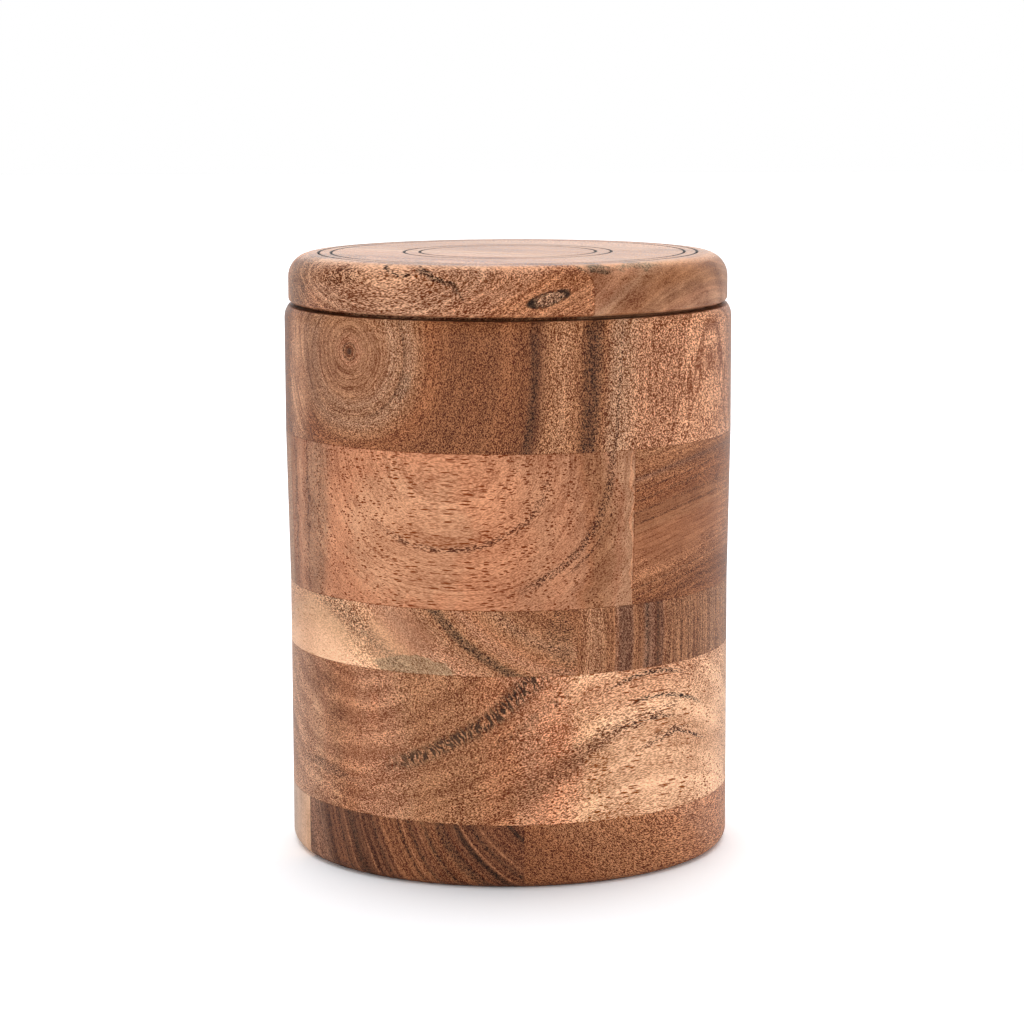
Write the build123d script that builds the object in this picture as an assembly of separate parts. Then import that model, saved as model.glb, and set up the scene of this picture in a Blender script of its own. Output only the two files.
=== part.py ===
from build123d import *
import os

# A round wooden storage jar with a lift-off lid.
# The jar is a stack of wooden layers glued on top of each other. Each layer is a panel of
# boards glued edge to edge, and its grain runs its own way. The stack is turned and hollowed
# on a lathe, so every piece is a board cut out by the turned shape. The lid is turned from
# one more panel, together with the plug that fits the mouth and carries a silicone ring.

# Millimetres. +Z is the turning axis, the origin is the middle of the base, the front is -Y.

# The wall of the jar
rim_radius = 57.15
foot_setback = 0.75
wall_at_foot = 9.4
floor_thickness = 10.0
floor_corner = 4.0
foot_round = 3.0
rim_arris_in = 1.0
rim_arris_down = 3.0
mouth_chamfer = 0.8

# Heights of the glued layers, from the bottom up
floor_layer_height = 16.0
lower_ring_height = 37.0
middle_ring_height = 16.2
upper_ring_height = 38.3
rim_ring_height = 31.8

# The lid
lid_setback = 1.05
lid_thickness = 12.3
lid_top_round = 6.0
lid_bottom_round = 1.2
shadow_gap = 0.8
seat_width = 4.2

# The plug and the groove for its seal
plug_depth = 9.0
plug_clearance = 0.7
plug_chamfer = 1.0
seal_groove_depth = 1.7
seal_groove_height = 4.6
seal_groove_drop = 2.2

# The silicone seal ring, with soft fins that reach for the wall
seal_fit = 0.1
seal_band = 1.1
seal_fin_root = 1.0
seal_fin_tip = 0.4
seal_fin_count = 3
seal_lip_clearance = 0.12

# Fine rings cut into the top of the lid, as two pairs
outer_ring_inset = 7.8
outer_ring_spacing = 3.2
inner_ring_radius = 26.5
inner_ring_spacing = 4.0
ring_groove_width = 0.7
ring_groove_depth = 0.5

# Angle across the boards of each layer, in degrees from the front towards the right
floor_across_angle = 58.5
lower_across_angle = 34.0
middle_across_angle = -62.0
upper_across_angle = -21.0
rim_across_angle = 44.0
lid_across_angle = -35.0

# Widths of the boards at the two edges of each panel, measured in from the rim's radius
floor_left_width = 26.85
floor_right_width = 24.75
lower_back_width = 21.0
middle_left_width = 46.6
upper_back_width = 26.0
upper_front_width = 23.45
rim_back_width = 16.0
lid_back_width = 26.0
lid_front_width = 26.4

# Wood left round each panel before turning
trim_allowance = 6.0

# Places worked out from the sizes above
floor_top = floor_layer_height
lower_top = floor_top + lower_ring_height
middle_top = lower_top + middle_ring_height
upper_top = middle_top + upper_ring_height
rim_top = upper_top + rim_ring_height
lid_bottom = rim_top + shadow_gap
lid_top = lid_bottom + lid_thickness
foot_radius = rim_radius - foot_setback
bore_radius = foot_radius - wall_at_foot
lid_radius = rim_radius - lid_setback
shoulder_radius = bore_radius + mouth_chamfer + seat_width
plug_radius = bore_radius - plug_clearance
plug_bottom = rim_top - plug_depth
groove_top = rim_top - seal_groove_drop
groove_bottom = groove_top - seal_groove_height
groove_radius = plug_radius - seal_groove_depth


def line(*points):
    """A straight run of the outline through (radius, height) points."""
    return Polyline(*points)


def round_off(start, end, leaving):
    """An arc from start to end that leaves start in the given direction."""
    return TangentArc(start, end, tangent=leaving)


def turn(*outline):
    """The solid that a closed outline sweeps round the jar's axis."""
    return revolve(Plane.XZ * make_face(list(outline)), Axis.Z)


def turned_jar():
    """The hollow jar as one turned shape, before it is cut into its boards."""
    outer_foot = (foot_radius, foot_round)
    arris = (rim_radius, rim_top - rim_arris_down)
    arris_end = (rim_radius - rim_arris_in, rim_top)
    mouth = (bore_radius, rim_top - mouth_chamfer)
    corner = (bore_radius, floor_thickness + floor_corner)
    corner_end = (bore_radius - floor_corner, floor_thickness)
    return turn(
        line((0, 0), (foot_radius - foot_round, 0)),
        round_off((foot_radius - foot_round, 0), outer_foot, (1, 0)),
        line(outer_foot, (foot_radius, middle_top), (rim_radius, upper_top), arris),
        round_off(arris, arris_end, (0, 1)),
        line(arris_end, (bore_radius + mouth_chamfer, rim_top), mouth, corner),
        round_off(corner, corner_end, (0, -1)),
        line(corner_end, (0, floor_thickness), (0, 0)),
    )


def ring_cutter(radius):
    """The ring of wood that a pointed tool takes out of the top of the lid."""
    half = ring_groove_width / 2
    over = lid_top + ring_groove_depth
    tip = lid_top - ring_groove_depth
    inside = (radius - half, lid_top)
    outside = (radius + half, lid_top)
    above = [(radius + half, over), (radius - half, over)]
    return turn(line(inside, (radius, tip), outside, *above, inside))


def turned_lid():
    """The lid with its shoulder, plug and seal groove as one turned shape."""
    edge_top = (lid_radius, lid_top - lid_top_round)
    edge_bottom = (lid_radius, lid_bottom + lid_bottom_round)
    under_edge = (lid_radius - lid_bottom_round, lid_bottom)
    lid = turn(
        line((0, plug_bottom), (0, lid_top), (lid_radius - lid_top_round, lid_top)),
        round_off((lid_radius - lid_top_round, lid_top), edge_top, (1, 0)),
        line(edge_top, edge_bottom),
        round_off(edge_bottom, under_edge, (0, -1)),
        line(
            under_edge,
            (shoulder_radius, lid_bottom),
            (shoulder_radius, rim_top),
            (plug_radius, rim_top),
            (plug_radius, groove_top),
            (groove_radius, groove_top),
            (groove_radius, groove_bottom),
            (plug_radius, groove_bottom),
            (plug_radius, plug_bottom + plug_chamfer),
            (plug_radius - plug_chamfer, plug_bottom),
            (0, plug_bottom),
        ),
    )
    outer_ring_radius = lid_radius - outer_ring_inset
    pairs = [(outer_ring_radius, outer_ring_spacing), (inner_ring_radius, inner_ring_spacing)]
    for radius, spacing in pairs:
        lid -= ring_cutter(radius) + ring_cutter(radius - spacing)
    return lid


def seal_ring():
    """The silicone ring: a band in the groove and fins that almost touch the wall."""
    back = groove_radius + seal_fit
    face = back + seal_band
    lip = bore_radius - seal_lip_clearance
    low = groove_bottom + seal_fit
    high = groove_top - seal_fit
    pitch = (high - low) / seal_fin_count
    outline = [(back, high), (back, low), (face, low)]
    for fin in range(seal_fin_count):
        middle = low + pitch * (fin + 0.5)
        outline.append((face, middle - seal_fin_root / 2))
        outline.append((lip, middle - seal_fin_tip / 2))
        outline.append((lip, middle + seal_fin_tip / 2))
        outline.append((face, middle + seal_fin_root / 2))
    outline += [(face, high), (back, high)]
    return turn(line(*outline))


def cut_boards(shape, bottom, top, across, joints, names):
    """Cut one layer out of a turned shape and name the boards that it was glued from.

    The joints are upright planes, placed by their distance from the axis in the across
    direction. names has one list for each board, from the far side of the first joint
    onwards, and a board that the hollow cuts in two has a name for each half.
    """
    reach = rim_radius + trim_allowance
    edges = [-reach, *joints, reach]
    turn_to_across = Rot(0, 0, across - 90)
    along_grain = Vector(0, 1, 0).rotate(Axis.Z, across - 90)
    pieces = {}
    for low, high, board_names in zip(edges, edges[1:], names):
        block = Box(high - low, 2 * reach, top - bottom)
        board = turn_to_across * Pos((low + high) / 2, 0, (bottom + top) / 2) * block
        cut = shape & board
        solids = sorted(cut.solids(), key=lambda solid: solid.center().dot(along_grain))
        for name, solid in zip(board_names, solids, strict=True):
            pieces[name] = solid
    return pieces


def far(width):
    """The joint of a board of this width at the far edge of a panel."""
    return width - rim_radius


def near(width):
    """The joint of a board of this width at the near edge of a panel."""
    return rim_radius - width


jar = turned_jar()
lid = turned_lid()

pieces = {}
pieces |= cut_boards(
    jar, 0, floor_top, floor_across_angle,
    [far(floor_left_width), near(floor_right_width)],
    [["floor_left_board"], ["floor_middle_board"], ["floor_right_board"]],
)
pieces |= cut_boards(
    jar, floor_top, lower_top, lower_across_angle,
    [far(lower_back_width)],
    [["lower_ring_back_strip"], ["lower_ring_front_board"]],
)
pieces |= cut_boards(
    jar, lower_top, middle_top, middle_across_angle,
    [near(middle_left_width)],
    [["middle_ring_right_board"], ["middle_ring_left_board"]],
)
pieces |= cut_boards(
    jar, middle_top, upper_top, upper_across_angle,
    [far(upper_back_width), near(upper_front_width)],
    [
        ["upper_ring_back_board"],
        ["upper_ring_left_board", "upper_ring_right_board"],
        ["upper_ring_front_board"],
    ],
)
pieces |= cut_boards(
    jar, upper_top, rim_top, rim_across_angle,
    [far(rim_back_width)],
    [["rim_ring_back_strip"], ["rim_ring_main_board"]],
)
pieces |= cut_boards(
    lid, plug_bottom, lid_top, lid_across_angle,
    [far(lid_back_width), near(lid_front_width)],
    [["lid_back_board"], ["lid_middle_board"], ["lid_front_board"]],
)
pieces["lid_seal_ring"] = seal_ring()

os.makedirs("parts", exist_ok=True)
for name, piece in pieces.items():
    export_step(piece, f"parts/{name}.step")
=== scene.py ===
# %% [markdown]
# # A turned wooden jar, dressed for the camera
# The jar is a stack of hardwood layers, each glued up from boards, and then turned round and
# hollow on a lathe. The shapes come ready from the CAD model. This lesson adds what the eye
# looks for next: a camera, light, and above all wood whose rings, pores and streaks run
# through every board as they do in a real one.

# %% Load the model
from math import cos, pi, radians, sin

import bpy
from mathutils import Matrix, Vector


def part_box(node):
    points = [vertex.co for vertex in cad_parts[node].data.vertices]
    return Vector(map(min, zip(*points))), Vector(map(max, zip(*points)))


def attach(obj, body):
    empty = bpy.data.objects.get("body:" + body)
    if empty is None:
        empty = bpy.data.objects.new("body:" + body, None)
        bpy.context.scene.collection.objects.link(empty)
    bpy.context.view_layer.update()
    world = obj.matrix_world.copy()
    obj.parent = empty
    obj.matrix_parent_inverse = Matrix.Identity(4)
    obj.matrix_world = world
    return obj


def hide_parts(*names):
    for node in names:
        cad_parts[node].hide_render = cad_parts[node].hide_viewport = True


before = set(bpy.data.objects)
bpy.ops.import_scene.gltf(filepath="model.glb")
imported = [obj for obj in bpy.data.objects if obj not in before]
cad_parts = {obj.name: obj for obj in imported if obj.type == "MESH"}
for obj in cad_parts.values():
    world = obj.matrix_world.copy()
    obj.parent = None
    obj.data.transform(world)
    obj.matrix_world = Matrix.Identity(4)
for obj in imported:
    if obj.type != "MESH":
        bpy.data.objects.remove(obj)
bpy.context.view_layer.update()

MM = 0.001

# %% [markdown]
# ## The camera
# A product picture like this is taken from a distance with a long lens, so that the jar
# keeps straight sides, and from a little above, so that the top of the lid shows as a thin
# ellipse. The camera looks along +Y and is tipped down by eight and a half degrees.

# %% Camera
camera_distance = 811.5 * MM
camera_height = 206.9 * MM
camera_down = 0.14904
camera_right = 0.00107
camera_roll = -0.00355
camera_lens = 111.52

camera = bpy.data.objects.new("camera", bpy.data.cameras.new("camera"))
camera.data.sensor_width = 36
camera.data.lens = camera_lens
camera.matrix_world = (
    Matrix.Translation((0, -camera_distance, camera_height))
    @ Matrix.Rotation(-camera_right, 4, "Z")
    @ Matrix.Rotation(pi / 2 - camera_down, 4, "X")
    @ Matrix.Rotation(camera_roll, 4, "Z")
)
bpy.context.scene.collection.objects.link(camera)
bpy.context.scene.camera = camera
bpy.context.scene.view_settings.view_transform = "Standard"
print("camera", round(camera.data.lens, 1), "mm lens,", camera_distance, "m away")

# %% [markdown]
# ## Building node trees in code
# Every material below is a small program made of nodes. A few helpers keep it readable: one
# adds a node and wires or sets its inputs, others do arithmetic, and one starts a node group
# with named inputs and outputs, which is a tool that many materials can share.


# %% Node helpers
def add(tree, kind, inputs=None, **settings):
    """Add a node. An input that is given a socket is wired to it, any other value is set."""
    made = tree.nodes.new(kind)
    for name, value in settings.items():
        setattr(made, name, value)
    for key, value in (inputs or {}).items():
        if isinstance(value, bpy.types.NodeSocket):
            tree.links.new(value, made.inputs[key])
        else:
            made.inputs[key].default_value = value
    return made


def calc(tree, operation, *values, clamp=False):
    """One step of arithmetic on numbers."""
    made = add(tree, "ShaderNodeMath", dict(enumerate(values)), operation=operation)
    made.use_clamp = clamp
    return made.outputs[0]


def vector(tree, operation, *values):
    """One step of arithmetic on vectors."""
    made = add(tree, "ShaderNodeVectorMath", dict(enumerate(values)), operation=operation)
    return made.outputs["Value" if operation in ("LENGTH", "DOT_PRODUCT") else "Vector"]


def join(tree, x, y, z):
    """A place from three numbers, which may be sockets."""
    return add(tree, "ShaderNodeCombineXYZ", {0: x, 1: y, 2: z}).outputs[0]


def scaled(tree, place, x, y, z):
    """Stretch a place by a different number along each axis."""
    return vector(tree, "MULTIPLY", place, join(tree, x, y, z))


def split(tree, place):
    """The three numbers of a place or a colour."""
    return add(tree, "ShaderNodeSeparateXYZ", {0: place}).outputs


def apart(tree, first, second):
    """How far apart two numbers are."""
    return calc(tree, "ABSOLUTE", calc(tree, "SUBTRACT", first, second))


def noise(tree, place, fourth=None, scale=1, detail=2, roughness=0.5):
    """Soft noise at a place. A fourth number, such as a seed, makes it four-dimensional."""
    inputs = {"Vector": place, "Scale": scale, "Detail": detail, "Roughness": roughness}
    if fourth is None:
        return add(tree, "ShaderNodeTexNoise", inputs).outputs
    return add(tree, "ShaderNodeTexNoise", {**inputs, "W": fourth}, noise_dimensions="4D").outputs


def remap(tree, value, low, high, to_low=0.0, to_high=1.0):
    """Ease a value from one range into another, and stop it at the ends."""
    inputs = {0: value, 1: low, 2: high, 3: to_low, 4: to_high}
    return add(tree, "ShaderNodeMapRange", inputs, interpolation_type="SMOOTHSTEP").outputs[0]


def blend(tree, share, first, second):
    """A mix of two colours: all first at 0, all second at 1."""
    inputs = {0: share, 6: first, 7: second}
    return add(tree, "ShaderNodeMix", inputs, data_type="RGBA").outputs[2]


def use(tree, group, inputs):
    """Add a node group to a tree. Returns its outputs."""
    return add(tree, "ShaderNodeGroup", inputs, node_tree=group).outputs


def start_tree(holder):
    """The empty node tree of a material or of the world."""
    holder.use_nodes = True
    holder.node_tree.nodes.clear()
    return holder.node_tree


def start_group(name, inputs, outputs):
    """A new shader node group. inputs gives each input its usual value, where three parts make
    a vector and four a colour. Returns the group, its inputs and its outputs."""
    tree = bpy.data.node_groups.new(name, "ShaderNodeTree")
    for label, value in inputs.items():
        kind = {3: "Vector", 4: "Color"}[len(value)] if isinstance(value, tuple) else "Float"
        made = tree.interface.new_socket(label, in_out="INPUT", socket_type="NodeSocket" + kind)
        made.default_value = value
    for label in outputs:
        kind = "Color" if label == "Colour" else "Float"
        tree.interface.new_socket(label, in_out="OUTPUT", socket_type="NodeSocket" + kind)
    return tree, tree.nodes.new("NodeGroupInput").outputs, tree.nodes.new("NodeGroupOutput").inputs


# %% [markdown]
# ## The studio
# A white floor and large soft lamps: the picture's background is pure white, the jar is lit
# evenly from all round, and the only shadow is a narrow soft one where it touches the floor.
# The world is white where the camera sees it and much dimmer as a lamp. In the gloss of the
# wood the room is bright behind the jar and dark behind the camera, which keeps the front of
# the jar free of haze while its sides catch a pale sheen. The floor is dimmed there too.

# %% World, floor and lamps
room_light = 0.33
room_dark_side = 0.1
room_bright_side = 0.97
floor_white = 0.93
floor_white_in_gloss = 0.6
floor_white_in_camera = (1.24, 1.27, 1.31, 1)
side_lamps = 1.18
back_lamp = 2.54

world = bpy.data.worlds.new("studio")
bpy.context.scene.world = world
room = start_tree(world)
direction = add(room, "ShaderNodeTexCoord").outputs["Generated"]
away = split(room, direction)[1]
mirrored = remap(room, away, 0.48, 0.97, room_dark_side, room_bright_side)
path = add(room, "ShaderNodeLightPath").outputs
level = add(room, "ShaderNodeMix", {0: path["Is Glossy Ray"], 2: room_light, 3: mirrored})
seen = calc(room, "MAXIMUM", path["Is Camera Ray"], path["Is Transmission Ray"])
level = add(room, "ShaderNodeMix", {0: seen, 2: level.outputs[0], 3: 1.0})
light = add(room, "ShaderNodeBackground", {"Color": (1, 1, 1, 1), "Strength": level.outputs[0]})
add(room, "ShaderNodeOutputWorld", {"Surface": light.outputs[0]})

floor_paint = bpy.data.materials.new("white_floor")
paint = start_tree(floor_paint)
path = add(paint, "ShaderNodeLightPath").outputs
plain = add(paint, "ShaderNodeBsdfDiffuse", {"Color": (floor_white,) * 3 + (1,)})
bright = add(paint, "ShaderNodeBsdfDiffuse", {"Color": floor_white_in_camera})
dim = add(paint, "ShaderNodeBsdfDiffuse", {"Color": (floor_white_in_gloss,) * 3 + (1,)})
shown = plain
for ray, version in (("Is Glossy Ray", dim), ("Is Camera Ray", bright)):
    shown = add(paint, "ShaderNodeMixShader", {0: path[ray], 1: shown.outputs[0], 2: version.outputs[0]})
add(paint, "ShaderNodeOutputMaterial", {"Surface": shown.outputs[0]})

half = 4.0
floor_mesh = bpy.data.meshes.new("floor")
corners = [(-half, -half, 0), (half, -half, 0), (half, half, 0), (-half, half, 0)]
floor_mesh.from_pydata(corners, [], [(0, 1, 2, 3)])
floor_mesh.materials.append(floor_paint)
floor = bpy.data.objects.new("floor", floor_mesh)
bpy.context.scene.collection.objects.link(floor)


def soft_lamp(name, towards, softness, strength):
    """A lamp far away, as wide in the sky as a large soft box. towards is where it shines."""
    lamp = bpy.data.objects.new(name, bpy.data.lights.new(name, "SUN"))
    lamp.data.angle = radians(softness)
    lamp.data.energy = strength
    lamp.rotation_euler = Vector(towards).to_track_quat("-Z", "Y").to_euler()
    lamp.visible_glossy = False
    bpy.context.scene.collection.objects.link(lamp)


soft_lamp("lamp_left", (0.9, 0.8, -0.12), 60, side_lamps)
soft_lamp("lamp_right", (-0.9, 0.8, -0.12), 60, side_lamps)
soft_lamp("lamp_over_the_back", (0.0, -0.6, -1.0), 80, back_lamp)
print("floor", 2 * half, "m across, three soft lamps")

# %% [markdown]
# ## What wood is made of
# A board is a slice of a log, so its pattern isn't painted on its faces: it is solid. The
# grain group below is that log. Its X axis is the pith, the line through the middle of the
# tree, and it measures in millimetres. The growth rings are circles round X that wander a
# little. Fibres lie in short strands along the rings, and pores, the open vessels, show as
# dark dashes where the saw went along them and as dots where it went across. Cut the log
# anywhere, at any angle, and the right figure appears: stripes, arches or whole rings.
#
# The fibres use noise in four dimensions: the fourth is the distance from the pith, scaled up,
# so that the noise changes fast from ring to ring and slowly along each one.

# %% The grain of a log
grain_group, given, wanted = start_group(
    "log grain",
    {
        "Place": (0, 0, 0), "Seed": 0, "Push": 0, "Wobble": 0.9, "Wobble size": 30, "Squash": 1,
        "Straighten": 1000, "Line spacing": 1.4, "Fibre width": 0.13, "Fibre length": 0.5,
        "Fibre curl": 0.33, "Pore spacing": 0.7, "Pore width": 0.24, "Pore length": 2.0,
    },
    ["Radius", "Lines", "Hairlines", "Fibre", "Pores", "Speckle", "Clouds"],
)
log = grain_group
size = calc(log, "DIVIDE", 1.0, given["Wobble size"])
wide = scaled(log, given["Place"], calc(log, "MULTIPLY", size, 0.3), size, size)
bend = vector(log, "SUBTRACT", noise(log, wide, given["Seed"])["Color"], (0.5, 0.5, 0.5))
reach = calc(log, "MULTIPLY", given["Wobble"], 4.0)
bent = vector(log, "ADD", given["Place"], scaled(log, bend, 0.0, reach, reach))
parts = split(log, bent)
sideways = calc(log, "DIVIDE", parts[1], given["Straighten"])
flatter = calc(log, "DIVIDE", given["Squash"], calc(log, "MULTIPLY_ADD", sideways, sideways, 1.0))
radius = vector(log, "LENGTH", scaled(log, bent, 0.0, 1.0, flatter))
radius = calc(log, "ADD", radius, given["Push"])
log.links.new(radius, wanted["Radius"])

# %% Fine lines along the rings
ring_number = calc(log, "DIVIDE", radius, given["Line spacing"])
slow = [calc(log, "MULTIPLY", part, 0.035) for part in parts[1:3]]
round_the_rings = join(log, ring_number, *slow)
lines = noise(log, round_the_rings, given["Seed"])[0]
log.links.new(remap(log, lines, 0.3, 0.7), wanted["Lines"])
log.links.new(remap(log, apart(log, lines, 0.5), 0.0, 0.035, 1.0, 0.0), wanted["Hairlines"])

# %% Fibres
fine = calc(log, "DIVIDE", 1.0, given["Fibre curl"])
along = calc(log, "DIVIDE", 1.0, given["Fibre length"])
strands = calc(log, "DIVIDE", radius, given["Fibre width"])
fibre = noise(log, scaled(log, bent, along, fine, fine), strands, detail=1)[0]
log.links.new(remap(log, fibre, 0.34, 0.66), wanted["Fibre"])

# %% Pores, speckle and clouds
gap = calc(log, "DIVIDE", 1.0, given["Pore spacing"])
share = calc(log, "DIVIDE", given["Pore width"], given["Pore spacing"])
stretch = calc(log, "DIVIDE", share, given["Pore length"])
cells = add(log, "ShaderNodeTexVoronoi", {"Vector": scaled(log, bent, stretch, gap, gap), "Scale": 1}).outputs
dice = split(log, cells["Color"])
rows = remap(log, lines, 0.36, 0.54, 0.65, 1.0)
thickness = remap(log, dice[0], 0.0, 0.8, 0.3, 0.95)
vessel = calc(log, "MULTIPLY", calc(log, "MULTIPLY", share, rows), thickness)
pores = remap(log, calc(log, "DIVIDE", cells["Distance"], vessel), 0.6, 1.05, 1.0, 0.0)
log.links.new(pores, wanted["Pores"])

blotch = noise(log, scaled(log, bent, 0.3, 1.3, 1.3), given["Seed"], detail=3, roughness=0.7)[0]
crisp = calc(log, "MULTIPLY_ADD", calc(log, "SUBTRACT", blotch, 0.5), -0.8, fibre)
log.links.new(remap(log, crisp, 0.46, 0.54, 1.0, 0.0), wanted["Speckle"])
cloud = noise(log, scaled(log, bent, 0.05, 0.12, 0.12), given["Seed"])[0]
log.links.new(remap(log, cloud, 0.3, 0.7), wanted["Clouds"])
print("grain group:", len(log.nodes), "nodes")

# %% [markdown]
# ## Streaks, stains and knots
# Hardwood from a hot country is full of character: minerals leave black, speckled streaks
# that follow a growth ring for a few centimetres, and damp leaves grey patches. The streak
# group marks a thin shell of the log, breaks it up and fades it out away from its middle. The
# patch group marks a soft oval anywhere in a board. A knot is where a branch grew through the
# board: a ring of black bark round paler wood, with a sharp dark tip where it tapers off.

# %% Streaks
streak_group, given, wanted = start_group(
    "mineral streak",
    {
        "Radius": 0, "Broken": 0, "Place": (0, 0, 0), "Ring": 50, "Half width": 1, "Solid": 0.3,
        "Middle": (0, 0, 0), "Reach": 1000,
    },
    ["Mask"],
)
tree = streak_group
off = calc(tree, "DIVIDE", apart(tree, given["Radius"], given["Ring"]), given["Half width"])
near = remap(tree, off, 0.3, 1.3, 1.0, 0.0)
far = vector(tree, "LENGTH", vector(tree, "SUBTRACT", given["Place"], given["Middle"]))
close = remap(tree, calc(tree, "DIVIDE", far, given["Reach"]), 0.55, 1.0, 1.0, 0.0)
ragged = calc(tree, "ADD", given["Broken"], given["Solid"], clamp=True)
mask = calc(tree, "MULTIPLY", calc(tree, "MULTIPLY", near, close), ragged)
tree.links.new(mask, wanted["Mask"])

# %% Patches and knots
patch_group, given, wanted = start_group(
    "soft patch", {"Place": (0, 0, 0), "Broken": 0, "Solid": 0.5, "Edge": 0.3}, ["Mask"])
tree = patch_group
inner = calc(tree, "SUBTRACT", 1.0, given["Edge"])
outer = calc(tree, "ADD", 1.0, given["Edge"])
inside = remap(tree, vector(tree, "LENGTH", given["Place"]), inner, outer, 1.0, 0.0)
ragged = calc(tree, "ADD", given["Broken"], given["Solid"], clamp=True)
tree.links.new(calc(tree, "MULTIPLY", inside, ragged), wanted["Mask"])

knot_group, given, wanted = start_group(
    "knot", {"Place": (0, 0, 0), "Broken": 0}, ["Bark", "Heart", "Nearness"])
tree = knot_group
far = vector(tree, "LENGTH", given["Place"])
crooked = calc(tree, "MULTIPLY", calc(tree, "SUBTRACT", given["Broken"], 0.5), 0.3)
bark = remap(tree, apart(tree, calc(tree, "ADD", far, crooked), 0.88), 0.06, 0.2, 1.0, 0.0)
tip = remap(tree, split(tree, given["Place"])[0], -0.45, -0.8, 0.0, 1.0)
tip = calc(tree, "MULTIPLY", tip, remap(tree, far, 1.0, 1.2, 1.0, 0.0))
tree.links.new(calc(tree, "MAXIMUM", bark, tip), wanted["Bark"])
tree.links.new(remap(tree, far, 0.8, 0.95, 1.0, 0.0), wanted["Heart"])
tree.links.new(remap(tree, far, 0.0, 3.0, 1.0, 0.0), wanted["Nearness"])
groups = (streak_group, patch_group, knot_group)
print("nodes of the streak, patch and knot groups:", *[len(group.nodes) for group in groups])

# %% [markdown]
# ## Glue lines and cut rings
# Where two boards meet, a good glue joint leaves only a hair of darker colour, because the
# glue seals the fibres and the oil soaks in less. The first group marks a fine line along the
# flat joints above and below a layer and along its two upright joints. The second marks the
# four fine rings cut into the top of the lid, where their grooves get painted shade.

# %% Glue lines
glue_group, given, wanted = start_group(
    "glue line",
    {
        "Place": (0, 0, 0), "Across": (1, 0, 0), "Bottom": 0, "Top": 1000, "First joint": -1000,
        "Second joint": 1000, "Width": 0.14,
    },
    ["Mask"],
)
tree = glue_group
across = vector(tree, "DOT_PRODUCT", given["Place"], given["Across"])
height = split(tree, given["Place"])[2]
nearest = 1000.0
for where, joint in ((height, "Bottom"), (height, "Top"), (across, "First joint"), (across, "Second joint")):
    nearest = calc(tree, "MINIMUM", apart(tree, where, given[joint]), nearest)
hair = remap(tree, calc(tree, "DIVIDE", nearest, given["Width"]), 0.5, 1.2, 1.0, 0.0)
tree.links.new(hair, wanted["Mask"])

# %% Rings cut in the lid
groove_shade_group, given, wanted = start_group(
    "cut rings with painted shade",
    {
        "Place": (0, 0, 0), "First": 48.3, "Second": 45.1, "Third": 26.5, "Fourth": 22.5,
        "Half width": 0.5, "Above": 151.5,
    },
    ["Mask"],
)
tree = groove_shade_group
from_axis = vector(tree, "LENGTH", vector(tree, "MULTIPLY", given["Place"], (1, 1, 0)))
nearest = 1000.0
for ring in ("First", "Second", "Third", "Fourth"):
    nearest = calc(tree, "MINIMUM", apart(tree, from_axis, given[ring]), nearest)
line = remap(tree, calc(tree, "DIVIDE", nearest, given["Half width"]), 0.5, 1.0, 1.0, 0.0)
on_top = calc(tree, "GREATER_THAN", split(tree, given["Place"])[2], given["Above"])
tree.links.new(calc(tree, "MULTIPLY", line, on_top), wanted["Mask"])
print("glue lines and cut rings with painted shade:", len(glue_group.nodes), len(groove_shade_group.nodes), "nodes")

# %% [markdown]
# ## The oiled surface
# Oil makes wood darker and redder where it soaks in and leaves a silky sheen. The finish
# group adds up everything that lightens or darkens the bare colour, and turns the sum into
# one tint: shade is redder and light is yellower, as in real wood, so the tint has its own
# number for red, green and blue. It also gives the gloss, and the height of the pores. Where
# the lid is polished it is glossier, and its tone is lifted too, which is a painted sheen.

# %% The oiled finish
dark_tint = (0.39, 0.21, 0.08)
light_tint = (1.62, 1.85, 1.80)
darkest_tone = -0.05
lightest_tone = 1.48
strongest_figure = 2.4
glue_darkness = 0.35
oiled_roughness = 0.31

finish_group, given, wanted = start_group(
    "oiled finish",
    {
        "Wood": (0.4, 0.2, 0.1, 1), "Lines": 0.5, "Hairlines": 0, "Fibre": 0.5, "Pores": 0,
        "Clouds": 0.5, "Glue": 0, "Polish and painted sheen": 0, "Calm": 0, "Line contrast": 0.3,
        "Hairline contrast": 0.0, "Fibre contrast": 2.8, "Cloud contrast": 0.2, "Pore darkness": 0.2,
    },
    ["Colour", "Roughness", "Height"],
)
tree = finish_group
brightness = add(tree, "ShaderNodeRGBToBW", {0: given["Wood"]}).outputs[0]
figure = calc(tree, "MULTIPLY", calc(tree, "POWER", brightness, -0.7), 0.33)
figure = calc(tree, "MINIMUM", figure, strongest_figure)
figure = calc(tree, "MULTIPLY", figure, calc(tree, "SUBTRACT", 1.0, given["Calm"]))
# Polish lowers the roughness below, and here it also lifts the tone: a painted sheen on the lid's top and
# arris.
tone = calc(tree, "MULTIPLY_ADD", given["Polish and painted sheen"], 0.75, 0.5)
for signal, contrast, share in (("Lines", "Line contrast", figure), ("Fibre", "Fibre contrast", figure),
                                ("Clouds", "Cloud contrast", 1.0)):
    change = calc(tree, "MULTIPLY", calc(tree, "SUBTRACT", given[signal], 0.5), given[contrast])
    tone = calc(tree, "MULTIPLY_ADD", change, share, tone)
for mark, depth in (("Pores", given["Pore darkness"]), ("Hairlines", given["Hairline contrast"]),
                    ("Glue", glue_darkness)):
    tone = calc(tree, "SUBTRACT", tone, calc(tree, "MULTIPLY", given[mark], depth))
tone = calc(tree, "MAXIMUM", calc(tree, "MINIMUM", tone, lightest_tone), darkest_tone)
tint = add(tree, "ShaderNodeMix", {0: tone, 4: dark_tint, 5: light_tint}, data_type="VECTOR",
           clamp_factor=False).outputs[1]
tree.links.new(vector(tree, "MULTIPLY", given["Wood"], tint), wanted["Colour"])
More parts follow.
